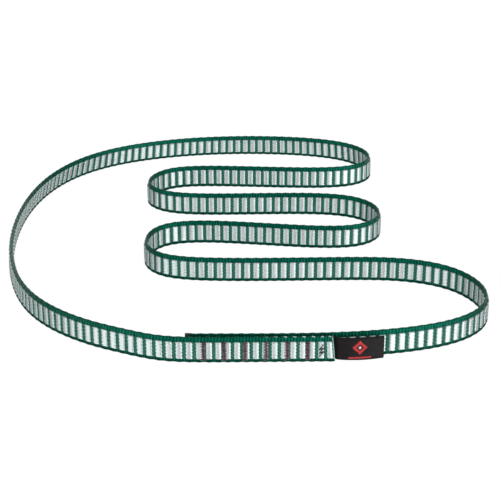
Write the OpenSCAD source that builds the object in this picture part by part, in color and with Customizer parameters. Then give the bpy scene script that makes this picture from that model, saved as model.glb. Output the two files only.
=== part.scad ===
// Sewn sling: one length of flat woven tape, lapped on itself, closed into a
// loop by a row of bar tacks, and folded into an S-shaped bundle standing on
// its edge. A folded cloth label is caught in the lap by a tack of its own.
// Millimetres. +X is right, +Y is away from the lap, +Z is up; the loop rests
// on z = 0 and the origin is under the middle of its bounding box.

/* [Tape] */

// Width of the woven tape, which is its height here because it stands on edge
tape_w = 11; // [8:0.5:14]
// Thickness of one layer of tape
tape_t = 2.4; // [1.8:0.1:2.8]
// Straight facets in each span between two control points of the route
route_steps = 6; // [4:1:8]

/* [Bar tacks] */

// Distance between neighbouring bar tacks
tack_pitch = 8.8; // [7:0.2:9]
// Distance from the hidden cut end of the tape to the first bar tack
tack_inset = 7.4; // [4:0.2:8]
// Length of a bar tack along the tape
tack_w = 2.4; // [1.5:0.1:3]
// Distance from a bar tack to each edge of the tape
tack_margin = 1.1; // [0.6:0.1:1.8]
// Number of zigzag passes in a bar tack
tack_passes = 11; // [7:2:13]
// Thickness of the sewing thread
thread_t = 0.4; // [0.3:0.05:0.45]

/* [Label] */

// Length of the label that shows outside the lap
label_len = 20.4; // [16:0.2:24]
// Distance from the label to each edge of the tape
label_margin = 0.3; // [0:0.1:1.2]
// Thickness of one leaf of the folded label
leaf_t = 0.25; // [0.2:0.05:0.3]
// Length of label that is caught between the two layers of tape
tab_len = 9; // [8:0.5:10]
// Distance from the visible cut end of the tape to the label's own tack
label_tack_inset = 5.8; // [5:0.2:6.4]
// Distance from the label's own tack to each edge of the tape
label_tack_margin = 2.5; // [2:0.1:3]
// Number of zigzag passes in the label's own tack
label_tack_passes = 7; // [5:2:9]

/* [Hidden] */

// Gap between the two layers in the lap, which the two leaves of the tab fill
lap_gap = 2 * leaf_t;
// Distance between the middle planes of the two layers
lap = tape_t + lap_gap;

// Unit vector to the left of a direction
function left_of(v) = [-v[1], v[0]] / norm(v);

// The straight lap: the middle line of its outer layer runs from beside the
// hidden cut end to the visible cut end, and the inner layer lies behind it.
lap_start = [-22, -122.8];
lap_end = [41, -121.6];
lap_line = lap_end - lap_start;

// A point at a share of the lap's length, side mm inwards of its outer layer
function lap_point(share, side) = lap_start + share * lap_line + side * left_of(lap_line);

// Control points of the tape's middle line, from the hidden cut end inside the
// lap, round the whole loop, to the visible cut end on the outside of the lap.
// Both layers bend a little inwards at the start of the lap.
tail_bend = 0.6;
lead_bend = 0.5;
inner_lap = [lap_point(0, lap + tail_bend), lap_point(0.5, lap), lap_point(1, lap)];
front_right = [[72, -114.5], [100, -104.5], [115, -81.5], [103, -53]];
fourth_fold = [[76, -42], [42, -43], [-24, -45], [-41, -37], [-47, -22]];
third_fold = [[-41, -3], [-18, 2.5], [37, -7.5], [62, -6], [73, 11]];
second_fold = [[65, 30], [42, 38], [-22, 33.5], [-43, 39], [-51, 54]];
first_fold = [[-42, 71], [-22, 76.5], [44, 70], [66, 76], [74, 93]];
back_run = [[62, 114], [28, 124], [-26, 124], [-78, 106]];
left_bight = [[-105, 69], [-114, 19], [-111, -32], [-97, -79], [-70, -105], [-48, -115]];
outer_lap = [lap_point(-0.16, lead_bend), lap_point(0.22, 0), lap_point(1, 0)];
route = concat(inner_lap, front_right, fourth_fold, third_fold, second_fold, first_fold,
    back_run, left_bight, outer_lap);

// The route with one mirrored point more at each end, so that the line starts
// and stops exactly on its first and last control points.
last = len(route) - 1;
spans = concat([2 * route[0] - route[1]], route, [2 * route[last] - route[last - 1]]);

// A point of the uniform cubic B-spline over four control points, 0 <= t <= 1
function spline_point(a, b, c, d, t) =
    (pow(1 - t, 3) * a + (3 * pow(t, 3) - 6 * t * t + 4) * b
    + (3 * t + 3 * t * t - 3 * pow(t, 3) + 1) * c + pow(t, 3) * d) / 6;

// Its direction there
function spline_slope(a, b, c, d, t) =
    (-3 * pow(1 - t, 2) * a + (9 * t * t - 12 * t) * b
    + (6 * t - 9 * t * t + 3) * c + 3 * t * t * d) / 6;

// A line that runs beside the middle line, side mm to its left
function beside(side) = [
    for (i = [0 : last - 1], k = [0 : route_steps - (i < last - 1 ? 1 : 0)])
        let (t = k / route_steps, a = spans[i], b = spans[i + 1], c = spans[i + 2], d = spans[i + 3])
            spline_point(a, b, c, d, t) + side * left_of(spline_slope(a, b, c, d, t))
];

// A list of points back to front
function reversed(list) = [for (i = [len(list) - 1 : -1 : 0]) list[i]];

outline = concat(beside(tape_t / 2), reversed(beside(-tape_t / 2)));
xs = [for (p = outline) p[0]];
ys = [for (p = outline) p[1]];
// Middle of the outline, which comes to x = 0, y = 0
middle = [(min(xs) + max(xs)) / 2, (min(ys) + max(ys)) / 2];

// The lap's own frame: u runs along the lap from the hidden cut end, v runs
// from the gap between the layers towards the inner layer.
lap_len = norm(lap_line);
lap_turn = atan2(lap_line[1], lap_line[0]);
lap_origin = lap_point(0, lap / 2) - middle;

// Half the height of the tape, where the middles of the tacks and the label are
mid_z = tape_w / 2;
tack_h = tape_w - 2 * tack_margin;
label_h = tape_w - 2 * label_margin;
label_tack_h = tape_w - 2 * label_tack_margin;
label_tack_u = lap_len - label_tack_inset;

// The label outside the lap, which swings about its root: how far it stays
// clear of the tape, the space between its two leaves, and its thickness
clear = 0.3;
fold_gap = 0.2;
flag_t = 2 * leaf_t + fold_gap;
// Depth of the flag's middle, clear of the inner layer behind it
flag_v = lap_gap / 2 - clear - flag_t / 2;

// The mark on the label's front leaf: a lozenge over a short bar
mark_w = 6.4;
mark_t = 0.1;
mark_lift = 0.9;
bar_w = 9.6;
bar_h = 0.9;
bar_inset = 0.7;

// Puts its children, drawn in the lap's frame, in their place on the sling
module in_lap() {
    translate([lap_origin[0], lap_origin[1], 0])
        rotate([0, 0, lap_turn])
            children();
}

// Zigzag line of one tack seen from the front: passes across, from low to high
function zigzag(w, h, passes) = [
    for (i = [0 : passes])
        [(i % 2 == 0 ? -1 : 1) * (w - thread_t) / 2, -(h - thread_t) / 2 + i * (h - thread_t) / passes]
];

// The satin face of one tack: its passes as slanting bars, joined at the turns
module zigzag_face(w, h, passes) {
    turns = zigzag(w, h, passes);
    half = [0, thread_t / 2];
    for (i = [0 : passes - 1])
        polygon([turns[i] - half, turns[i + 1] - half, turns[i + 1] + half, turns[i] + half]);
}

// Legs of one tack: square thread at each turn, running from depth v0 to v1
module legs(w, h, passes, v0, v1) {
    for (p = zigzag(w, h, passes))
        translate([p[0] - thread_t / 2, v0, p[1] - thread_t / 2])
            cube([thread_t, v1 - v0, thread_t]);
}

// One thread of a tack at place u along the lap. side -1 is the needle thread
// on the outer layer, side 1 the bobbin thread on the inner layer; their legs
// meet, locked, in the middle of the lap.
module tack_thread(u, side, h, passes) {
    face_v = side * (lap_gap / 2 + tape_t);
    in_lap()
        translate([u, 0, mid_z]) {
            translate([0, max(face_v, face_v + side * thread_t), 0])
                rotate([90, 0, 0])
                    linear_extrude(height = thread_t)
                        zigzag_face(tack_w, h, passes);
            legs(tack_w, h, passes, min(0, face_v), max(0, face_v));
        }
}

// Distance along the lap from the hidden cut end to bar tack i
function tack_u(i) = tack_inset + i * tack_pitch;

// Needle holes of one tack, right through both layers of tape and the label
module tack_holes(u, h, passes) {
    reach = lap_gap / 2 + tape_t + thread_t;
    in_lap()
        translate([u, 0, mid_z])
            legs(tack_w, h, passes, -reach, reach);
}

// Needle holes of every tack
module needle_holes() {
    for (i = [0 : 5])
        tack_holes(tack_u(i), tack_h, tack_passes);
    tack_holes(label_tack_u, label_tack_h, label_tack_passes);
}

// The tape: one continuous woven strip on edge, with its needle holes
module tape() {
    color("mediumseagreen")
        difference() {
            linear_extrude(height = tape_w)
                translate([-middle[0], -middle[1]])
                    polygon(outline);
            needle_holes();
        }
}

// Needle thread of bar tack i, counted from the hidden cut end
module tack_needle(i) {
    color("maroon")
        tack_thread(tack_u(i), -1, tack_h, tack_passes);
}

// Bobbin thread of bar tack i
module tack_bobbin(i) {
    color("silver")
        tack_thread(tack_u(i), 1, tack_h, tack_passes);
}

// Needle thread of the tack that holds the label
module label_tack_needle() {
    color("dimgray")
        tack_thread(label_tack_u, -1, label_tack_h, label_tack_passes);
}

// Bobbin thread of the tack that holds the label
module label_tack_bobbin() {
    color("gray")
        tack_thread(label_tack_u, 1, label_tack_h, label_tack_passes);
}

// The label's two raw ends, lying together between the layers of tape
module label_tab() {
    color("darkslategray")
        difference() {
            in_lap()
                translate([lap_len - tab_len, -lap_gap / 2, mid_z - label_h / 2])
                    cube([tab_len, lap_gap, label_h]);
            needle_holes();
        }
}

// The part of the label that shows: two leaves joined by a round fold at the end
module label_flag() {
    straight = label_len - clear - flag_t / 2;
    color("black")
        in_lap()
            translate([lap_len + clear, flag_v, mid_z - label_h / 2])
                linear_extrude(height = label_h)
                    difference() {
                        union() {
                            translate([0, -flag_t / 2])
                                square([straight, flag_t]);
                            translate([straight, 0])
                                circle(d = flag_t, $fn = 24);
                        }
                        translate([leaf_t, -fold_gap / 2])
                            square([straight - leaf_t, fold_gap]);
                    }
}

// The woven mark on the label's front leaf
module label_mark() {
    color("firebrick")
        in_lap()
            translate([lap_len + label_len / 2, flag_v - flag_t / 2, mid_z])
                rotate([90, 0, 0])
                    linear_extrude(height = mark_t) {
                        translate([0, mark_lift])
                            rotate(45)
                                square(mark_w / sqrt(2), center = true);
                        translate([-bar_w / 2, -label_h / 2 + bar_inset])
                            square([bar_w, bar_h]);
                    }
}

tape();
tack_needle(0);  // tack_1_needle
tack_bobbin(0);  // tack_1_bobbin
tack_needle(1);  // tack_2_needle
tack_bobbin(1);  // tack_2_bobbin
tack_needle(2);  // tack_3_needle
tack_bobbin(2);  // tack_3_bobbin
tack_needle(3);  // tack_4_needle
tack_bobbin(3);  // tack_4_bobbin
tack_needle(4);  // tack_5_needle
tack_bobbin(4);  // tack_5_bobbin
tack_needle(5);  // tack_6_needle
tack_bobbin(5);  // tack_6_bobbin
label_tack_needle();
label_tack_bobbin();
label_tab();
label_flag();
label_mark();
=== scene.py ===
import math

import bpy
import numpy as np
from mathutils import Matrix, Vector


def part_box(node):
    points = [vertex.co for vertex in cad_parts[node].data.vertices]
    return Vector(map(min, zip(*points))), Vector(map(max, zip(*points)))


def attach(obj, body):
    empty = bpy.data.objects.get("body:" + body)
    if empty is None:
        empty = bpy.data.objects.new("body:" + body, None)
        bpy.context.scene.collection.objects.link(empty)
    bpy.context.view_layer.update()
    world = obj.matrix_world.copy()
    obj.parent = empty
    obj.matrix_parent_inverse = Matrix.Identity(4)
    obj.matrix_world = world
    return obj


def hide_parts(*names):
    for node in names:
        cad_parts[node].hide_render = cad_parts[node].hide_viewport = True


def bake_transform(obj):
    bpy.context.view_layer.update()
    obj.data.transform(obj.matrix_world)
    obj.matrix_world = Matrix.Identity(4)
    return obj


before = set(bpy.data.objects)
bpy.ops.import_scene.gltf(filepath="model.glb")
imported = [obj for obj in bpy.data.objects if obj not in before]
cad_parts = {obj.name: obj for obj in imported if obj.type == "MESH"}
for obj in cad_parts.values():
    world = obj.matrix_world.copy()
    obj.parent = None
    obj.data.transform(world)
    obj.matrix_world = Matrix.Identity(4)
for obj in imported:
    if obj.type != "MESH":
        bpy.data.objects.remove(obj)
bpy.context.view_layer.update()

# Sewn climbing sling: one woven tape closed into a loop by a row of bar tacks,
# with a folded label caught in the lap. Everything is in metres, in the row
# frame: +X right, +Y away from the lap, +Z up, the lower edge on z = 0.
MM = 0.001

# --- Camera -----------------------------------------------------------------

CAMERA_PLACE = Vector((6, -664.5, 300.5)) * MM
CAMERA_PITCH = math.radians(24.655)
CAMERA_LENS = 105.2


def make_camera():
    """The camera stands level in front of the lap and looks down on the loop."""
    data = bpy.data.cameras.new("camera")
    data.lens = CAMERA_LENS
    camera = bpy.data.objects.new("camera", data)
    camera.location = CAMERA_PLACE
    camera.rotation_euler = (math.pi / 2 - CAMERA_PITCH, 0, 0)
    bpy.context.scene.collection.objects.link(camera)
    bpy.context.scene.camera = camera


# --- The tape's route -------------------------------------------------------

TAPE_W = (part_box("tape")[1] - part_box("tape")[0]).z
TAPE_T = 2.4 * MM
HALF_T = TAPE_T / 2
# The label's two leaves keep the layers of the lap apart
LEAF_T = 0.25 * MM
LAP_GAP = 2 * LEAF_T
# From the middle of one layer to the middle of the other
LAP = TAPE_T + LAP_GAP

# The straight lap, from beside the hidden cut end to the visible cut end
LAP_START = np.array([-22, -122.8]) * MM
LAP_END = np.array([41, -121.6]) * MM
# How far the hidden end, and the outer layer's way into the lap, bend inwards
TAIL_BEND = 0.6 * MM
LEAD_BEND = 0.5 * MM


def left_of(v):
    """Unit vectors to the left of directions in the plane."""
    v = np.asarray(v, float)
    return np.stack([-v[..., 1], v[..., 0]], -1) / np.linalg.norm(v, axis=-1)[..., None]


def lap_point(share, side):
    """A point at a share of the lap's length, side inwards of its outer layer."""
    return LAP_START + share * (LAP_END - LAP_START) + side * left_of(LAP_END - LAP_START)


def upright(*points):
    """Control points in millimetres where the tape stands upright."""
    return [(x * MM, y * MM, 0) for x, y in points]


def leaning(*points):
    """Control points in millimetres, each with how far its top edge leans inwards."""
    return [(x * MM, y * MM, lean * MM) for x, y, lean in points]


def lap_points(*points):
    """Control points in the lap, by share of its length and distance inwards."""
    return [(*lap_point(share, side), 0) for share, side in points]


# Control points of the tape's middle line, from the hidden cut end inside the
# lap, round the loop, to the visible cut end on the outside of the lap.
ROUTE = (
    lap_points((0, LAP + TAIL_BEND), (0.5, LAP), (1, LAP))
    + upright((72, -114.5), (100, -104.5), (115, -81.5), (103, -53))
    + upright((76, -42), (42, -43), (-24, -45), (-41, -37), (-47, -22))
    + upright((-41, -3), (-18, 2.5), (37, -7.5), (62, -6), (73, 11))
    + upright((65, 30), (42, 38), (-22, 33.5), (-43, 39), (-51, 54))
    + upright((-42, 71), (-22, 76.5), (44, 70), (66, 76), (74, 93))
    + leaning((62, 114, 1.9), (28, 124, 2.4), (-26, 124, 2.5), (-78, 106, 3))
    + leaning((-105, 69, 2.8), (-114, 19, 1.6), (-111, -32, 0.5))
    + upright((-97, -79), (-70, -105), (-48, -115))
    + lap_points((-0.16, LEAD_BEND), (0.22, 0), (1, 0))
)
# Steps in each span between two control points
SPAN_STEPS = 60
# The visible end is cut at a slant, its top edge shorter than its bottom edge by
# END_SLANT, and the weave leans with it over the last END_REACH
END_SLANT = 1.1 * MM
END_REACH = 6 * MM


def spline(points, steps):
    """A uniform cubic B-spline that starts and stops on its first and last point."""
    p = np.array(points, float)
    p = np.vstack([2 * p[0] - p[1], p, 2 * p[-1] - p[-2]])
    t = np.arange(steps) / steps
    shares = np.stack([(1 - t) ** 3, 3 * t**3 - 6 * t**2 + 4, -3 * t**3 + 3 * t**2 + 3 * t + 1, t**3], 1) / 6
    return np.vstack([shares @ p[i : i + 4] for i in range(len(p) - 3)] + [p[-2]])


def route_line():
    """The middle line: distance along it, place, inward normal and tilt at each point."""
    line = spline(ROUTE, SPAN_STEPS)
    place, lean = line[:, :2], line[:, 2]
    normal = left_of(np.gradient(place, axis=0))
    # The box round the tape is centred on the origin
    edges = np.vstack([place + HALF_T * normal, place - HALF_T * normal])
    place = place - (edges.min(0) + edges.max(0)) / 2
    steps = np.linalg.norm(np.diff(place, axis=0), axis=1)
    return np.concatenate([[0], np.cumsum(steps)]), place, normal, np.arcsin(lean / TAPE_W)


LINE_S, LINE_PLACE, LINE_NORMAL, LINE_TILT = route_line()
TAPE_L = LINE_S[-1]
# How far the centring moved the route
MIDDLE = LINE_PLACE[-1] - LAP_END


def on_tape(s, v, z):
    """The point at distance s along the tape, v inwards of its middle and z up its width."""
    s, v, z = np.broadcast_arrays(s, v, z)
    s = s - END_SLANT * z / TAPE_W * np.clip(1 - (TAPE_L - s) / END_REACH, 0, 1)
    x, y, nx, ny, tilt = (
        np.interp(s, LINE_S, a) for a in (*LINE_PLACE.T, *LINE_NORMAL.T, LINE_TILT)
    )
    beyond = s - np.clip(s, 0, TAPE_L)
    across = v * np.cos(tilt) + z * np.sin(tilt)
    up = z * np.cos(tilt) + (HALF_T - v) * np.sin(tilt)
    return np.stack([x + nx * across + ny * beyond, y + ny * across - nx * beyond, up], -1)


# --- Mesh helpers -----------------------------------------------------------


def make_piece(name, points, faces, material, weave, body="sling"):
    """A smooth mesh object with a vector on each point that its material reads."""
    mesh = bpy.data.meshes.new(name)
    mesh.from_pydata(np.reshape(points, (-1, 3)).tolist(), [], faces)
    mesh.polygons.foreach_set("use_smooth", np.ones(len(mesh.polygons), bool))
    values = mesh.attributes.new("weave", "FLOAT_VECTOR", "POINT")
    values.data.foreach_set("vector", np.reshape(weave, -1).astype(np.float32))
    mesh.materials.append(material)
    mesh.update()
    piece = bpy.data.objects.new(name, mesh)
    bpy.context.scene.collection.objects.link(piece)
    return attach(piece, body) if body else piece


def fullness(share, power, least=0.0):
    """1 over most of the way from share 0 to share 1, rounded off towards both."""
    return np.sqrt(np.clip(1 - (2 * share - 1) ** power, least, 1))


def tube_faces(rings, sides, first=0):
    """Faces of a closed tube of rings, with a flat cap at each end."""
    i, k = np.meshgrid(np.arange(rings - 1), np.arange(sides), indexing="ij")
    after = (k + 1) % sides
    corners = [i * sides + k, i * sides + after, (i + 1) * sides + after, (i + 1) * sides + k]
    walls = first + np.stack(corners, -1).reshape(-1, 4)
    start = [first + k for k in range(sides - 1, -1, -1)]
    end = [first + (rings - 1) * sides + k for k in range(sides)]
    return walls.tolist() + [start, end]


# --- The weave --------------------------------------------------------------

# Bands along the tape: each is a green bar, then a block of white floats
BANDS = 296
# The last bands, in the outer layer of the lap, lie closer together by this share
GATHERED_BANDS = 14
GATHER = 0.08
PITCH = TAPE_L / (BANDS - GATHER * GATHERED_BANDS)
# Heights of the plain edges, and the ribs that the yarns make between them
LOW_SELVEDGE = 1.55 * MM
TOP_SELVEDGE = 1.35 * MM
RIBS = 10
RIB = (TAPE_W - LOW_SELVEDGE - TOP_SELVEDGE) / RIBS
# Depths from the middle of the tape to the ground weave and to a bar's crest
GROUND_V = 0.62 * MM
BAR_V = 1.0 * MM
# Relief of the yarns up a bar
KNUCKLE = 0.04 * MM
# At each bar the edges are drawn in, and lose this share of their thickness
SCALLOP = 0.2 * MM
SQUEEZE = 0.06
# How far the woven top edge stands above the CAD tape's
EDGE_RISE = 0.92 * MM

# Places of the rings in one band, as a share of it from the middle of a bar,
# and how far the bar stands up there
RING_SHARES = np.array([0, 0.1, 0.175, 0.5, 0.825, 0.9])
RING_RISE = np.array([1, 0.75, 0, 0, 0, 0.75])
# Taper of the top and low selvedges: share of half the thickness, and depth in
# millimetres from the edge
EDGE_ROUND = [(0.46, 1.9), (0.4, 0.6), (0.27, 0.12), (0, 0), (-0.27, 0.12), (-0.4, 0.6), (-0.46, 1.9)]
LOW_ROUND = [(0.8, 1.1), (0.95, 0.5), (0.85, 0.1), (0, 0), (-0.85, 0.1), (-0.95, 0.5), (-0.8, 1.1)]


def band_place(band):
    """Distance along the tape of a place counted in bands from the hidden cut end."""
    gathered = np.maximum(band - (BANDS - GATHERED_BANDS), 0)
    return (band - GATHER * gathered) * PITCH


BAR_TACKS = 6


def tack_places():
    """Distance of each tack from the hidden cut end, along the lap."""
    names = [f"tack_{i + 1}_needle" for i in range(BAR_TACKS)] + ["label_tack_needle"]
    along = (LAP_END - LAP_START) / np.linalg.norm(LAP_END - LAP_START)
    start = LAP_START + MIDDLE
    places = []
    for name in names:
        low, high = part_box(name)
        places.append(float((np.array(((low + high) / 2).xy) - start) @ along))
    return places


TACK_U = tack_places()
LAP_LEN = float(np.linalg.norm(LAP_END - LAP_START))
# Where the tacks are on the two layers, as distances along the tape
TACK_S = TACK_U + [TAPE_L - LAP_LEN + u for u in TACK_U]
# The share of its thickness that the tape loses at a tack, and how wide the dip is
PULL = 0.1
PULL_W = 1.2 * MM


def pulled_in(s):
    """How much of its thickness the tape keeps where a tack pulls it in."""
    return 1 - PULL * sum(np.exp(-(((s - t) / PULL_W) ** 2)) for t in TACK_S)


def ground_section(share, rise):
    """One ring of the ground weave: depths and heights, round the whole section."""
    puff = (1 - math.cos(2 * math.pi * share)) / 2
    j = np.arange(2 * RIBS + 1)
    face_z = LOW_SELVEDGE + j * RIB / 2
    face_v = GROUND_V + rise * (BAR_V - GROUND_V + KNUCKLE * (-1.0) ** j)
    squeeze = 1 - SQUEEZE * (1 - puff)
    pinch = SCALLOP * (1 - puff)
    top_v, top_z = np.array(EDGE_ROUND).T * [[HALF_T], [MM]]
    low_v, low_z = np.array(LOW_ROUND).T * [[HALF_T], [MM]]
    v = np.concatenate([face_v, top_v * squeeze, -face_v, -low_v * squeeze])
    z = np.concatenate([face_z, TAPE_W + EDGE_RISE - top_z - pinch, face_z[::-1], low_z + pinch])
    return v, z


def make_ground(material):
    """The green ground weave with its bars and selvedges, from cut end to cut end."""
    share = np.append(np.tile(RING_SHARES, BANDS), 0)
    rise = np.append(np.tile(RING_RISE, BANDS), 1)
    band = np.append(np.repeat(np.arange(BANDS), len(RING_SHARES)), BANDS) + share
    s = band_place(band)
    sections = [ground_section(a, b) for a, b in zip(share, rise)]
    v = np.array([a for a, _ in sections]) * pulled_in(s)[:, None]
    z = np.array([b for _, b in sections])
    points = on_tape(s[:, None], v, z)
    weave = np.stack(np.broadcast_arrays(band[:, None] * PITCH, z, v), -1) / MM
    return make_piece("woven_tape", points, tube_faces(*v.shape), material, weave)


# Places across a block of floats, from one end of the yarn to the other, and
# how high it stands there between the ground and its crest
FLOAT_SHARES = np.array([-0.5, -0.46, -0.36, -0.14, 0.14, 0.36, 0.46, 0.5])
FLOAT_RISE = np.array([-0.15, 0.6, 0.93, 1, 1, 0.93, 0.6, -0.15])
# Length of a float, and how ragged and uneven its ends are, as shares of a band
FLOAT_LEN = 0.71
JAG = 0.035
JAG_UNEVEN = 0.006
# Depth of the crests from the middle of the tape, how much lower the dips between
# two ribs are, and how uneven the crests are
FLOAT_V = 1.2 * MM
VALLEY = 0.10 * MM
UNEVEN = 0.01 * MM
RIB_POINTS = 4
# The floats are made in this many pieces along the tape
STRETCHES = 4


def float_faces(count, stations, across, outward):
    """Faces of count closed blocks, whose points lie in rows across the yarns."""
    block = []
    for i in range(stations - 1):
        for j in range(across - 1):
            a = i * across + j
            block.append([a, a + 1, a + across + 1, a + across])
    for i in range(stations - 1):
        near, far = i * across, (i + 1) * across
        near_row = range(near, near + across) if i == 0 else (near, near + across - 1)
        far_row = range(far, far + across) if i == stations - 2 else (far, far + across - 1)
        block.append([*far_row, *reversed(near_row)])
    if not outward:
        block = [face[::-1] for face in block]
    size = stations * across
    return [[b * size + k for k in face] for b in range(count) for face in block]


def make_floats(stretch, random, material):
    """The white warp floats of one stretch of the tape, on both of its faces."""
    bands = np.arange(BANDS * stretch // STRETCHES, BANDS * (stretch + 1) // STRETCHES)
    j = np.arange(RIB_POINTS * RIBS + 1)
    crest = (1 - np.cos(2 * math.pi * j / RIB_POINTS)) / 2
    row_z = LOW_SELVEDGE + j * RIB / RIB_POINTS
    jag = JAG * crest * (-1.0) ** (j // RIB_POINTS)
    buried = np.isin(j, (0, j[-1]))
    points, weaves, faces = [], [], []
    for side in (1, -1):
        shape = (len(bands), len(FLOAT_SHARES), len(j))
        each_rib = random.normal(0, 1, (len(bands), 1, RIBS + 1))
        loose = np.repeat(each_rib, RIB_POINTS, axis=2)[..., : len(j)]
        share = FLOAT_SHARES[None, :, None] * FLOAT_LEN + jag + JAG_UNEVEN * loose * crest
        band = bands[:, None, None] + 0.5 + share
        s = band_place(band)
        rise = np.broadcast_to(FLOAT_RISE[None, :, None], shape)
        depth = GROUND_V + rise * (FLOAT_V - GROUND_V) - VALLEY * (1 - crest) + UNEVEN * loose * crest
        v = side * np.where(buried, GROUND_V - VALLEY, depth) * pulled_in(s)
        z = np.broadcast_to(row_z, shape)
        along = np.broadcast_to(2 * FLOAT_SHARES[None, :, None], shape)
        weave = np.stack([band * PITCH / MM, z / MM, along], -1)
        points.append(on_tape(s, v, z).reshape(-1, 3))
        weaves.append(weave.reshape(-1, 3))
        made = float_faces(len(bands), len(FLOAT_SHARES), len(j), side > 0)
        first = len(points[0]) if side < 0 else 0
        faces += [[first + k for k in face] for face in made]
    name = f"warp_floats_{stretch + 1}"
    return make_piece(name, np.vstack(points), faces, material, np.vstack(weaves))


# --- Cut ends ---------------------------------------------------------------

# Lowest and highest edge of the fused skin
END_LOW = 0.3 * MM
END_TOP = TAPE_W + EDGE_RISE - 0.1 * MM
END_RINGS = 7
END_SIDES = 40
# Below 1 this makes the skin's section squarer than an ellipse
END_SQUARE = 0.55
# Shares that the skin loses at its rims, in thickness and height, and its roughness
END_THINNING = 0.12
END_LOWERING = 0.02
END_ROUGH = 0.02
# Where each skin starts and stops along the tape, and how far it swells outwards
HIDDEN_END = (-0.3 * MM, 2.2 * MM, 0.14 * MM)
VISIBLE_END = (TAPE_L - 0.45 * MM, TAPE_L + 0.12 * MM, 0.02 * MM)


def make_cut_end(name, start, stop, swell, random, material):
    """The fused end of the tape: a thin uneven skin over its last stretch."""
    turn = np.linspace(0, 2 * math.pi, END_SIDES, endpoint=False)
    v = np.sign(np.cos(turn)) * np.abs(np.cos(turn)) ** END_SQUARE * (HALF_T + swell)
    z = np.sign(np.sin(turn)) * np.abs(np.sin(turn)) ** END_SQUARE * (END_TOP - END_LOW) / 2
    shares = np.linspace(0, 1, END_RINGS)[:, None]
    fade = 1 - END_THINNING * (1 - fullness(shares, 4))
    rough = 1 + END_ROUGH * random.normal(0, 1, (END_RINGS, END_SIDES))
    v = v * fade * rough
    z = (END_TOP + END_LOW) / 2 + z * (1 - END_LOWERING * (1 - fade))
    s = np.broadcast_to(start + (stop - start) * shares, v.shape)
    weave = np.stack([s, z, v], -1) / MM
    faces = tube_faces(END_RINGS, END_SIDES)
    return make_piece(name, on_tape(s, v, z), faces, material, weave)


# --- Bar tacks --------------------------------------------------------------

THREAD_SIDES = 6
PASS_STATIONS = 6
# How far the thread stands up, and the depth of its middle from the tape's
THREAD_RISE = 0.14 * MM
TACK_SEAT = 1.16 * MM
# Share of that depth by which a stitch dives at its needle holes
TACK_DIVE = 0.12
# How far the needle holes are out of line, as a share of half the tack's width
HOLE_UNEVEN = 0.05
# A tack's width, its number of passes, half the height of a stitch, and how many
# passes higher the needle holes on its far side are than those on its near side
BAR_STITCH = (2.4 * MM, 23, 0.17 * MM, 0)
LABEL_STITCH = (2.4 * MM, 5, 0.36 * MM, 2)


def make_tack(name, place, side, box, stitch, random, material):
    """Satin stitches of one tack: a thread that goes to and fro up the face of the tape."""
    width, passes, radius, lean = stitch
    low, high = box[0].z, box[1].z
    i = np.arange(passes * PASS_STATIONS + 1)
    turn = i / PASS_STATIONS
    share = np.where(np.floor(turn) % 2 == 0, turn % 1, 1 - turn % 1)
    # Needle holes on the near and the far side, each a little out of line
    uneven = HOLE_UNEVEN * random.normal(0, 1, passes + 2)
    reach = 1 + np.interp(turn, np.arange(passes + 2), uneven)
    s = place + (share - 0.5) * width * reach
    z = low + (high - low) * (turn + lean * share) / (passes + lean)
    v = TACK_SEAT * (1 - TACK_DIVE * (2 * share - 1) ** 4)
    around = np.arange(THREAD_SIDES) / THREAD_SIDES * 2 * math.pi
    ring_z = z[:, None] + radius * np.cos(around)
    ring_v = side * v[:, None] + THREAD_RISE * np.sin(around)
    rows = np.broadcast_to(s[:, None], ring_z.shape)
    weave = np.stack(np.broadcast_arrays(turn[:, None], 2 * share[:, None] - 1, ring_z / MM), -1)
    faces = tube_faces(len(i), THREAD_SIDES)
    return make_piece(name, on_tape(rows, ring_v, ring_z), faces, material, weave)


# --- Label ------------------------------------------------------------------

LABEL_LOW, LABEL_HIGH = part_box("label_flag")[0].z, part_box("label_flag")[1].z
LABEL_H = LABEL_HIGH - LABEL_LOW
# Length of the label outside the lap, and of each raw end between the layers
LABEL_LEN = 20.9 * MM
TAB_LEN = 9 * MM
# Depth of the free part's middle inwards of the lap's gap, and half its thickness
FLAG_V = -0.4 * MM
FLAG_HALF = 0.35 * MM
# The length over which its leaves part from each other
PARTING = 1.2 * MM
# How far the fold bends inwards, how far the part before it bulges outwards, and
# how far towards the root, below 1, the bulge is
LABEL_BOW = 0.9 * MM
LABEL_BULGE = 1.2 * MM
BULGE_PLACE = 0.8
TAB_POINTS = 10
FREE_POINTS = 24
FOLD_POINTS = 9
LABEL_ROWS = 14
# Thinning of a leaf towards its long edges: the power of the rounding, and the
# least square of its thickness, as a share
RIM_POWER = 12
RIM_LEAST = 0.12
# How far the front leaf's long edges waver, and the length of a radian of it
WAVER = 0.05 * MM
WAVER_LEN = 3.1 * MM


def in_lap(u, v, z):
    """The point u along the lap from the hidden cut end, v inwards of its gap, z up."""
    u, v, z = np.broadcast_arrays(u, v, z)
    along = (LAP_END - LAP_START) / LAP_LEN
    inward = left_of(along)
    flat = LAP_START + MIDDLE + inward * LAP / 2 + u[..., None] * along + v[..., None] * inward
    return np.concatenate([flat, z[..., None]], -1)


def label_bow(u):
    """How far the free part of the label bulges outwards, then bends back."""
    share = np.clip((u - LAP_LEN) / LABEL_LEN, 0, 1)
    return LABEL_BOW * share**2 - LABEL_BULGE * np.sin(math.pi * share**BULGE_PLACE)


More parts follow.
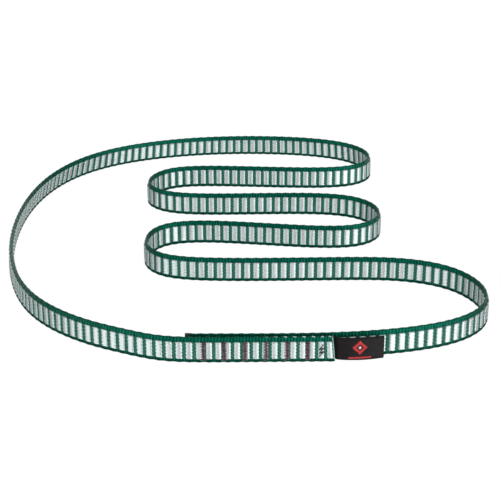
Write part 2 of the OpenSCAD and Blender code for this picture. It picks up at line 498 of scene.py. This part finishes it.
def leaf_line(side):
    """Middle line of one leaf in the lap's plane, from its raw end to the fold."""
    root = np.linspace(LAP_LEN - TAB_LEN, LAP_LEN, TAB_POINTS)
    free = np.linspace(LAP_LEN, LAP_LEN + LABEL_LEN - FLAG_HALF, FREE_POINTS)[1:]
    jog = np.clip((free - LAP_LEN) / PARTING, 0, 1)
    jog = jog * jog * (3 - 2 * jog)
    tab_v = side * LEAF_T / 2
    flag_v = FLAG_V + side * (FLAG_HALF - LEAF_T / 2)
    u = np.concatenate([root, free])
    v = np.concatenate([np.full(len(root), tab_v), tab_v + (flag_v - tab_v) * jog])
    return np.stack([u, v + label_bow(u)], 1)


def label_line():
    """Middle line of the whole label: front leaf, round fold, back leaf."""
    turn = np.linspace(-math.pi / 2, math.pi / 2, FOLD_POINTS)[1:-1]
    centre_u = LAP_LEN + LABEL_LEN - FLAG_HALF
    radius = FLAG_HALF - LEAF_T / 2
    u = centre_u + radius * np.cos(turn)
    fold = np.stack([u, FLAG_V + radius * np.sin(turn) + label_bow(u)], 1)
    return np.vstack([leaf_line(-1), fold, leaf_line(1)[::-1]])


def make_label(material):
    """The folded label: one strip of cloth with its two raw ends in the lap."""
    line = label_line()
    steps = np.linalg.norm(np.diff(line, axis=0), axis=1)
    along = np.concatenate([[0], np.cumsum(steps)])
    normal = left_of(np.gradient(line, axis=0))
    share = np.linspace(0, 1, LABEL_ROWS)
    thin = fullness(share, RIM_POWER, RIM_LEAST)
    share = np.concatenate([share, share[::-1]])
    half = np.concatenate([thin, -thin[::-1]]) * LEAF_T / 2
    waver = WAVER * np.sin(along / WAVER_LEN) * (along < along[-1] / 2)
    z = LABEL_LOW + share * LABEL_H + waver[:, None] * (2 * share - 1)
    flat = line[:, None, :] + normal[:, None, :] * half[None, :, None]
    points = in_lap(flat[..., 0], flat[..., 1], z)
    weave = np.stack(np.broadcast_arrays(along[:, None], z, half), -1) / MM
    faces = [face[::-1] for face in tube_faces(len(line), 2 * LABEL_ROWS)]
    label = make_piece("folded_label", points, faces, material, weave, body=None)
    return label, (LABEL_H, float(along[-1]))


# A stitch of the mark: its radius, how thin its ends are, and how flat it lies
STITCH_R = 0.11 * MM
STITCH_END = 0.35
STITCH_FLAT = 0.7
STITCH_SIDES = 6
STITCH_STATIONS = 5
# The mark: the height of the lozenge's lower tip above the label's edge, the
# shares of the lozenge that are its hole and its pale middle, and the bar's size
LOZENGE_LOW = 2.6 * MM
HOLE_SHARE = 0.45
PALE_SHARE = 0.25
MARK_BAR_LEN = 9.6 * MM
MARK_BAR_H = 0.9 * MM


def make_stitches(name, rows, material):
    """Satin stitches on the label's front leaf, each from (u, z) to (u, z)."""
    share = np.linspace(0, 1, STITCH_STATIONS)
    turn = np.arange(STITCH_SIDES) / STITCH_SIDES * 2 * math.pi
    thick = STITCH_R * (STITCH_END + (1 - STITCH_END) * fullness(share, 4))
    points, weave, faces = [], [], []
    for (u0, z0), (u1, z1) in rows:
        length = math.hypot(u1 - u0, z1 - z0)
        across = np.array([z0 - z1, u1 - u0]) / length
        u = (u0 + (u1 - u0) * share)[:, None] + across[0] * thick[:, None] * np.cos(turn)
        z = (z0 + (z1 - z0) * share)[:, None] + across[1] * thick[:, None] * np.cos(turn)
        v = FLAG_V - FLAG_HALF + label_bow(u) + STITCH_FLAT * thick[:, None] * np.sin(turn)
        first = len(points) * STITCH_STATIONS * STITCH_SIDES
        faces += tube_faces(STITCH_STATIONS, STITCH_SIDES, first)
        points.append(in_lap(u, v, z))
        weave.append(np.stack(np.broadcast_arrays(u / MM, z / MM, share[:, None]), -1))
    return make_piece(name, np.array(points), faces, material, np.array(weave), body="label")


def lozenge_rows(centre, outer, inner):
    """Level stitches that fill a lozenge, but for a smaller lozenge inside it."""
    rows = []
    for z in np.arange(-outer + STITCH_R, outer, 2 * STITCH_R):
        half, hole = outer - abs(z), inner - abs(z)
        spans = [(-half, half)] if hole <= 0 else [(-half, -hole), (hole, half)]
        rows += [((centre[0] + a, centre[1] + z), (centre[0] + b, centre[1] + z)) for a, b in spans]
    return rows


def bar_rows(centre, width, height):
    """Upright stitches side by side, which make a bar."""
    places = np.arange(-width / 2 + STITCH_R, width / 2, 2 * STITCH_R)
    low, high = centre[1] - height / 2, centre[1] + height / 2
    return [((centre[0] + u, low), (centre[0] + u, high)) for u in places]


# --- Materials --------------------------------------------------------------


class Graph:
    """Builds one Principled material from small chains of nodes."""

    def __init__(self, name, **settings):
        self.material = bpy.data.materials.new(name)
        self.material.use_nodes = True
        self.tree = self.material.node_tree
        self.shader = self.tree.nodes["Principled BSDF"]
        for key, value in settings.items():
            self.shader.inputs[key.replace("_", " ")].default_value = value

    def node(self, kind, inputs=(), **properties):
        """A node with its properties set and its inputs set or linked, by position."""
        made = self.tree.nodes.new("ShaderNode" + kind)
        for key, value in properties.items():
            setattr(made, key, value)
        for key, value in dict(inputs).items():
            if isinstance(value, bpy.types.NodeSocket):
                self.tree.links.new(value, made.inputs[key])
            else:
                made.inputs[key].default_value = value
        return made

    def math(self, operation, a, b=0.0, c=0.0):
        """One Math node."""
        return self.node("Math", {0: a, 1: b, 2: c}, operation=operation).outputs[0]

    def weave(self):
        """The three numbers that the mesh keeps on each point."""
        attribute = self.node("Attribute", attribute_name="weave")
        split = self.node("SeparateXYZ", {0: attribute.outputs["Vector"]})
        return attribute.outputs["Vector"], *split.outputs

    def stretched(self, vector, x, y, z):
        """The vector with each of its numbers scaled."""
        return self.node("Mapping", {"Vector": vector, "Scale": (x, y, z)}).outputs[0]

    def noise(self, vector, scale, detail=3.0):
        """Noise from 0 to 1."""
        inputs = {"Vector": vector, "Scale": scale, "Detail": detail}
        return self.node("TexNoise", inputs).outputs[0]

    def spread(self, value, low, high, start=0.0, stop=1.0):
        """Value carried smoothly from low..high to start..stop."""
        inputs = {0: value, 1: low, 2: high, 3: start, 4: stop}
        return self.node("MapRange", inputs, interpolation_type="SMOOTHSTEP").outputs[0]

    def mix(self, share, a, b):
        """Two colours mixed, with that share of the second."""
        made = self.node("Mix", {"Factor": share}, data_type="RGBA")
        for socket, colour in ((made.inputs[6], a), (made.inputs[7], b)):
            if isinstance(colour, bpy.types.NodeSocket):
                self.tree.links.new(colour, socket)
            else:
                socket.default_value = (*colour, 1)
        return made.outputs[2]

    def finish(self, colour, roughness, height, strength, distance):
        """Links colour, roughness and bump to the shader."""
        inputs = {"Height": height, "Strength": strength, "Distance": distance}
        bump = self.node("Bump", inputs).outputs[0]
        self.tree.links.new(colour, self.shader.inputs["Base Color"])
        self.tree.links.new(roughness, self.shader.inputs["Roughness"])
        self.tree.links.new(bump, self.shader.inputs["Normal"])
        return self.material


def wave(graph, value, period):
    """A sine of value, from 0 to 1, with that period."""
    turned = graph.math("MULTIPLY", value, 2 * math.pi / period)
    return graph.math("MULTIPLY_ADD", graph.math("SINE", turned), 0.5, 0.5)


GREEN_DARK = (0.0002, 0.011, 0.0075)
GREEN = (0.0004, 0.038, 0.023)
GREEN_LIGHT = (0.004, 0.145, 0.088)
GREEN_SHINE = (0.02, 1, 0.66, 1)
BAR_PALE = (0.10, 0.23, 0.175)
WHITE = (0.40, 0.47, 0.47)
WHITE_WARM = (0.47, 0.44, 0.48)
WHITE_COOL = (0.34, 0.48, 0.455)
WHITE_SHINE = (0.86, 1, 0.985, 1)
FLECK = (0.75, 0.80, 0.80)
GREY_GREEN = (0.09, 0.19, 0.155)
FUSED_GREEN = ((0.002, 0.012, 0.010), (0.006, 0.05, 0.035))
FUSED_PALE = ((0.05, 0.20, 0.14), (0.34, 0.46, 0.41))
MAROON = ((0.060, 0.014, 0.026), (0.18, 0.16, 0.17))
GREY = ((0.11, 0.10, 0.10), (0.30, 0.29, 0.29))
BLACK = ((0.012, 0.011, 0.012), (0.05, 0.045, 0.05))
THREAD_SHADE = (0.02, 0.015, 0.015)
CLOTH = ((0.003, 0.0025, 0.003), (0.011, 0.0088, 0.010))
CLOTH_RIM = (0.08, 0.073, 0.08)
CLOTH_DUST = (0.2, 0.19, 0.19)
RED = ((0.30, 0.008, 0.012), (0.75, 0.03, 0.03))
PALE = ((0.45, 0.40, 0.40), (0.85, 0.78, 0.78))

# Pale flecks in the top edge near the visible cut end: they start and are full
# this many bands before it, and lie at this share of each band
FLECKS_START = 9
FLECKS_FULL = 3
FLECK_PLACE = 0.65


def flecks(g, s, z, v, fibres):
    """Where the warp shows pale through the middle of the top edge."""
    phase = g.math("FRACT", g.math("DIVIDE", s, PITCH / MM))
    off_place = g.math("ABSOLUTE", g.math("SUBTRACT", phase, FLECK_PLACE))
    off_middle = g.math("ABSOLUTE", g.math("ADD", v, 0.1))
    starts, full = (BANDS - FLECKS_START) * PITCH / MM, (BANDS - FLECKS_FULL) * PITCH / MM
    share = g.spread(off_place, 0.13, 0.21, 1.0, 0.0)
    share = g.math("MULTIPLY", share, g.spread(off_middle, 0.2, 0.34, 1.0, 0.0))
    share = g.math("MULTIPLY", share, g.spread(z, TAPE_W / MM - 0.2, TAPE_W / MM - 0.05))
    share = g.math("MULTIPLY", share, g.spread(s, starts, full))
    return g.math("MULTIPLY", share, g.spread(fibres, 0.35, 0.6))


# Lengths of a chevron of the selvedge and of a turn of the ground yarns, in millimetres
CHEVRON = 1.45
TWIST = 0.55


def green_weave():
    """Green ground: twisted yarns across the bars, chevrons along the selvedges, and a painted contact
    shadow along the lower edge.
    """
    g = Graph("green_weave", Specular_Tint=GREEN_SHINE, Specular_IOR_Level=0.42, IOR=1.5)
    vector, s, z, v = g.weave()
    chevron = wave(g, g.math("ADD", g.math("ABSOLUTE", v), s), CHEVRON)
    twist = wave(g, g.math("MULTIPLY_ADD", s, 0.8, z), TWIST)
    half_face = RIBS * RIB / MM / 2
    off_middle = g.math("ABSOLUTE", g.math("SUBTRACT", z, LOW_SELVEDGE / MM + half_face))
    edge = g.spread(off_middle, half_face - 0.1, half_face + 0.1)
    bar = g.math("SUBTRACT", 1.0, edge)
    yarn = g.math("ADD", g.math("MULTIPLY", chevron, edge), g.math("MULTIPLY", twist, bar))
    cloudy = g.noise(vector, 0.35, 2.0)
    fibres = g.noise(g.stretched(vector, 6, 6, 14), 1.0, 3.0)
    tone = g.math("MULTIPLY_ADD", yarn, 0.45, g.math("MULTIPLY", cloudy, 0.4))
    tone = g.math("MULTIPLY_ADD", fibres, 0.3, tone)
    colour = g.mix(g.spread(tone, 0.25, 0.6), GREEN_DARK, GREEN)
    colour = g.mix(g.spread(tone, 0.62, 0.95), colour, GREEN_LIGHT)
    colour = g.mix(g.math("MULTIPLY", bar, 0.26), colour, BAR_PALE)
    fuzz = g.noise(vector, 3.0, 4.0)
    worn = g.math("MULTIPLY", g.spread(fuzz, 0.64, 0.74), g.math("MULTIPLY", edge, 0.35))
    colour = g.mix(worn, colour, GREY_GREEN)
    # Painted contact shadow: the lowest part of the lower selvedge is darkened towards GREEN_DARK, and is
    # rougher there too.
    low_edge_shadow = g.spread(z, 0.5, LOW_SELVEDGE / MM + 0.4, 1.0, 0.0)
    colour = g.mix(g.math("MULTIPLY", low_edge_shadow, 0.8), colour, GREEN_DARK)
    colour = g.mix(flecks(g, s, z, v, fibres), colour, FLECK)
    roughness = g.math("ADD", g.spread(fibres, 0.2, 0.8, 0.35, 0.55), g.math("MULTIPLY", low_edge_shadow, 0.4))
    height = g.math("MULTIPLY_ADD", fibres, 0.35, yarn)
    return g.finish(colour, roughness, height, 0.6, 0.12 * MM)


def white_floats():
    """White warp floats: silky strands side by side, greyer with painted shade between the ribs and towards
    their ends, where they go under the bars.
    """
    g = Graph("white_floats", Specular_Tint=WHITE_SHINE, Specular_IOR_Level=1.0, IOR=2.1)
    vector, _, z, along = g.weave()
    rib = wave(g, g.math("SUBTRACT", z, (LOW_SELVEDGE + RIB / 4) / MM), RIB / MM)
    strands = g.noise(g.stretched(vector, 0.5, 11, 0.3), 1.0, 3.0)
    patch = g.noise(g.stretched(vector, 0.35, 1.3, 0), 1.0, 2.0)
    fibres = g.noise(g.stretched(vector, 2.5, 30, 1), 1.0, 2.0)
    off_middle = g.math("ABSOLUTE", along)
    tint = g.math("MULTIPLY_ADD", off_middle, -0.5, g.math("ADD", patch, 0.2))
    colour = g.mix(g.spread(tint, 0.15, 0.45), WHITE_COOL, WHITE)
    colour = g.mix(g.spread(tint, 0.45, 0.65), colour, WHITE_WARM)
    # Painted shade in the valleys between the ribs, mixed with random streaks along the strands: where both
    # are low the colour goes greyer.
    shade = g.math("MULTIPLY_ADD", rib, 0.22, g.math("MULTIPLY", strands, 0.35))
    colour = g.mix(g.spread(shade, 0.1, 0.42), g.mix(0.14, colour, GREY_GREEN), colour)
    # Painted shade at the ends of each float, where it curves down under a bar, greyed towards GREY_GREEN
    # where the green ground shows through.
    dive_shade = g.spread(off_middle, 0.5, 1.0)
    colour = g.mix(g.math("MULTIPLY", dive_shade, 0.85), colour, GREY_GREEN)
    roughness = g.spread(strands, 0.25, 0.75, 0.25, 0.33)
    height = g.math("MULTIPLY_ADD", fibres, 0.4, strands)
    return g.finish(colour, roughness, height, 0.25, 0.1 * MM)


# Length of a turn of the sewing thread's plies, in millimetres
PLY = 0.28


def tack_thread(name, base, accent, share):
    """Sewing thread in two twisted colours, each stitch a little different."""
    g = Graph(name, Sheen_Weight=0.2, Sheen_Roughness=0.4, Specular_IOR_Level=0.4)
    vector, turn, across, z = g.weave()
    stitch = g.math("FLOOR", turn)
    own = g.node("TexWhiteNoise", {"W": stitch}, noise_dimensions="1D").outputs[0]
    patch = g.noise(g.stretched(vector, 0.35, 1.2, 0), 1.0, 2.0)
    side = g.math("MULTIPLY", g.math("ABSOLUTE", across), 0.3)
    tone = g.math("MULTIPLY_ADD", own, 0.3, g.math("ADD", g.math("MULTIPLY", patch, 0.7), side))
    colour = g.mix(g.spread(tone, share - 0.15, share + 0.15), base, accent)
    ply = wave(g, g.math("MULTIPLY_ADD", across, 1.6, z), PLY)
    colour = g.mix(g.math("MULTIPLY", ply, 0.35), colour, THREAD_SHADE)
    fibres = g.noise(g.stretched(vector, 3, 8, 12), 1.0, 3.0)
    roughness = g.spread(fibres, 0.2, 0.8, 0.45, 0.7)
    height = g.math("MULTIPLY_ADD", fibres, 0.4, ply)
    return g.finish(colour, roughness, height, 0.5, 0.06 * MM)


# Spacing of the label's warp and of its twill lines, in millimetres
LABEL_WARP = 0.34
LABEL_TWILL = 0.42


def label_cloth():
    """Near-black label satin: a fine twill with faint dust and lighter raw edges."""
    g = Graph("label_cloth", Specular_IOR_Level=0.12)
    vector, along, z, _ = g.weave()
    warp = wave(g, along, LABEL_WARP)
    twill = wave(g, g.math("MULTIPLY_ADD", z, 1.6, along), LABEL_TWILL)
    cloud = g.noise(vector, 0.5, 3.0)
    yarn = g.math("MULTIPLY", g.math("ADD", warp, twill), 0.5)
    tone = g.math("MULTIPLY_ADD", yarn, 0.5, g.math("MULTIPLY", cloud, 0.5))
    colour = g.mix(g.spread(tone, 0.2, 0.8), *CLOTH)
    middle = g.math("ABSOLUTE", g.math("SUBTRACT", z, TAPE_W / MM / 2))
    rim = g.spread(middle, LABEL_H / MM / 2 - 0.35, LABEL_H / MM / 2)
    colour = g.mix(g.math("MULTIPLY", rim, 0.2), colour, CLOTH_RIM)
    dust = g.spread(g.noise(vector, 4.0, 4.0), 0.68, 0.78)
    colour = g.mix(g.math("MULTIPLY", dust, 0.2), colour, CLOTH_DUST)
    roughness = g.spread(tone, 0.2, 0.8, 0.62, 0.42)
    return g.finish(colour, roughness, yarn, 0.4, 0.05 * MM)


def mark_yarn(name, dark, light):
    """Embroidery yarn of the mark on the label."""
    g = Graph(name, Sheen_Weight=0.2, Sheen_Roughness=0.4, Specular_IOR_Level=0.4)
    vector = g.weave()[0]
    strands = g.noise(g.stretched(vector, 3, 9, 0), 1.0, 3.0)
    patch = g.noise(vector, 0.8, 2.0)
    tone = g.math("MULTIPLY_ADD", strands, 0.6, g.math("MULTIPLY", patch, 0.4))
    colour = g.mix(g.spread(tone, 0.25, 0.75), dark, light)
    roughness = g.spread(strands, 0.2, 0.8, 0.4, 0.65)
    return g.finish(colour, roughness, strands, 0.4, 0.05 * MM)


def melted(name, dark, light):
    """Fibre fused by a hot knife: glossy in patches, with streaks across the end."""
    g = Graph(name, Specular_IOR_Level=0.25)
    vector = g.weave()[0]
    streaks = g.noise(g.stretched(vector, 1.5, 0.8, 4), 1.0, 4.0)
    blobs = g.noise(vector, 2.2, 3.0)
    tone = g.math("MULTIPLY_ADD", streaks, 0.5, g.math("MULTIPLY", blobs, 0.5))
    colour = g.mix(g.spread(tone, 0.35, 0.65), dark, light)
    roughness = g.spread(blobs, 0.3, 0.7, 0.28, 0.6)
    return g.finish(colour, roughness, tone, 0.6, 0.2 * MM)


# --- Stage ------------------------------------------------------------------


# Half the floor's side in metres, and the glow that keeps it white all over
FLOOR_HALF = 3
FLOOR_GLOW = 0.95


def make_floor():
    """A plain white floor that the loop stands on."""
    mesh = bpy.data.meshes.new("floor")
    corners = [(FLOOR_HALF * x, FLOOR_HALF * y, 0) for x, y in ((-1, -1), (1, -1), (1, 1), (-1, 1))]
    mesh.from_pydata(corners, [], [(0, 1, 2, 3)])
    material = bpy.data.materials.new("floor")
    material.use_nodes = True
    shader = material.node_tree.nodes["Principled BSDF"]
    shader.inputs["Base Color"].default_value = (0.1, 0.1, 0.1, 1)
    shader.inputs["Roughness"].default_value = 0.9
    shader.inputs["Specular IOR Level"].default_value = 0
    shader.inputs["Emission Color"].default_value = (1, 1, 1, 1)
    shader.inputs["Emission Strength"].default_value = FLOOR_GLOW
    mesh.materials.append(material)
    floor = bpy.data.objects.new("floor", mesh)
    bpy.context.scene.collection.objects.link(floor)
    floor.visible_diffuse = False
    floor.visible_glossy = False


# Brightness of the dim room, then of the lights in it. A direction's height, or how
# far back it points, runs from -1 to 1; each light brightens between two of these.
AMBIENT = 0.1
OVERHEAD = 1.1
OVERHEAD_HEIGHT = (0.6, 0.95)
BEHIND = 0.8
BEHIND_BACK = (0.8, 0.95)
# The wide light at the rear is a low band, so that the tape's top edges don't
# mirror it to the front
REAR = 1.9
REAR_BACK = (0.1, 0.6)
REAR_HEIGHT = (-0.25, -0.1, 0.1, 0.25)
# The panels left and right of the camera: side, brightness, and the angles from
# straight ahead between which each one brightens and fades
PANELS = [(-1, 2.2, (15, 24, 66, 92)), (1, 3.3, (7, 13, 60, 88))]
# Heights between which they do so
PANEL_HEIGHT = (-0.9, -0.6, 0.2, 0.6)


def make_light():
    """A dim room with a panel on each side of the camera, one overhead, two at the back."""
    world = bpy.data.worlds.new("studio")
    world.use_nodes = True
    nodes, links = world.node_tree.nodes, world.node_tree.links

    def calculate(operation, a, b=0.0):
        made = nodes.new("ShaderNodeMath")
        made.operation = operation
        for i, value in enumerate((a, b)):
            if isinstance(value, bpy.types.NodeSocket):
                links.new(value, made.inputs[i])
            else:
                made.inputs[i].default_value = value
        return made.outputs[0]

    def spread(value, low, high, start=0.0, stop=1.0):
        made = nodes.new("ShaderNodeMapRange")
        made.interpolation_type = "SMOOTHSTEP"
        links.new(value, made.inputs[0])
        for i, number in enumerate((low, high, start, stop)):
            made.inputs[i + 1].default_value = number
        return made.outputs[0]

    def between(value, rise, full, fade, gone):
        return calculate("MULTIPLY", spread(value, rise, full), spread(value, fade, gone, 1, 0))

    split = nodes.new("ShaderNodeSeparateXYZ")
    links.new(nodes.new("ShaderNodeTexCoord").outputs["Generated"], split.inputs[0])
    x, y, z = split.outputs
    total = calculate("ADD", spread(z, *OVERHEAD_HEIGHT, 0, OVERHEAD), AMBIENT)
    for side, bright, angles in PANELS:
        turn = calculate("ARCTAN2", calculate("MULTIPLY", x, side), calculate("MULTIPLY", y, -1.0))
        sideways = between(turn, *map(math.radians, angles))
        panel = calculate("MULTIPLY", sideways, between(z, *PANEL_HEIGHT))
        total = calculate("ADD", total, calculate("MULTIPLY", panel, bright))
    total = calculate("ADD", total, spread(y, *BEHIND_BACK, 0, BEHIND))
    rear = calculate("MULTIPLY", spread(y, *REAR_BACK, 0, REAR), between(z, *REAR_HEIGHT))
    total = calculate("ADD", total, rear)
    links.new(total, nodes["Background"].inputs["Strength"])
    nodes["Background"].inputs["Color"].default_value = (1, 1, 1, 1)
    bpy.context.scene.world = world
    bpy.context.scene.view_settings.view_transform = "Standard"


# --- The sling --------------------------------------------------------------


# Every so many points of the middle line make the path
PATH_STEP = 8


def declare_tape():
    """Works out the tape's middle line, half way up, at every so many points; nothing is done with it."""
    path = on_tape(LINE_S, 0, TAPE_W / 2)[::PATH_STEP]
    path = np.vstack([path, on_tape(TAPE_L, 0, TAPE_W / 2)])


def make_tape(random):
    """The woven tape with its floats and its fused ends."""
    tape = make_ground(green_weave())
    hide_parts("tape")
    white = white_floats()
    pieces = [make_floats(i, random, white) for i in range(STRETCHES)]
    dark_end = melted("melted_dark", *FUSED_GREEN)
    pale_end = melted("melted_pale", *FUSED_PALE)
    pieces.append(make_cut_end("cut_end_hidden", *HIDDEN_END, random, dark_end))
    pieces.append(make_cut_end("cut_end_visible", *VISIBLE_END, random, pale_end))
    return tape, pieces


def make_tacks(random):
    """The six bar tacks and the label's own tack, on both faces of the lap."""
    maroon = tack_thread("needle_thread", *MAROON, 0.68)
    grey = tack_thread("bobbin_thread", *GREY, 0.5)
    black = tack_thread("label_thread", *BLACK, 0.75)
    bar_threads = [("needle_thread", maroon), ("bobbin_thread", grey)]
    label_threads = [("label_thread", black), ("label_thread", black)]
    pieces = []
    for i, u in enumerate(TACK_U):
        bar_tack = i < BAR_TACKS
        name = f"tack_{i + 1}" if bar_tack else "label_tack"
        stitch = BAR_STITCH if bar_tack else LABEL_STITCH
        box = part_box(f"{name}_needle")
        layers = [("needle", TAPE_L - LAP_LEN + u, -1), ("bobbin", u, 1)]
        threads = bar_threads if bar_tack else label_threads
        for (layer, place, side), (slot, thread) in zip(layers, threads):
            piece = make_tack(f"{name}_satin_{layer}", place, side, box, stitch, random, thread)
            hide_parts(f"{name}_{layer}")
            pieces.append(piece)
    return pieces


# Two places past the lap's end, at the label's root; make_label_pieces works them out but does not use them
BEND_START = -0.2 * MM
BEND_END = 1.4 * MM


def make_label_pieces():
    """The label, bowed out from its root, and the plain mark on its front leaf."""
    label, flat = make_label(label_cloth())
    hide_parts("label_tab", "label_flag")
    middle = (LABEL_LOW + LABEL_HIGH) / 2
    start, end = in_lap(LAP_LEN + np.array([BEND_START, BEND_END]), FLAG_V, middle)
    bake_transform(label)
    low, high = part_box("label_mark")
    centre_u = LAP_LEN + LABEL_LEN / 2
    lozenge_half = (high.z - LABEL_LOW - LOZENGE_LOW) / 2
    centre = (centre_u, high.z - lozenge_half)
    red = mark_yarn("mark_red", *RED)
    pale = mark_yarn("mark_pale", *PALE)
    rows = lozenge_rows(centre, lozenge_half, HOLE_SHARE * lozenge_half)
    rows += bar_rows((centre_u, low.z + MARK_BAR_H / 2), MARK_BAR_LEN, MARK_BAR_H)
    mark = make_stitches("label_mark_red", rows, red)
    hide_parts("label_mark")
    accent_rows = lozenge_rows(centre, PALE_SHARE * lozenge_half, 0)
    accent = make_stitches("label_mark_pale", accent_rows, pale)


SEED = 11

make_camera()
seeded = np.random.default_rng(SEED)
tape, on_it = make_tape(seeded)
tack_pieces = make_tacks(seeded)
declare_tape()
make_label_pieces()
make_floor()
make_light()
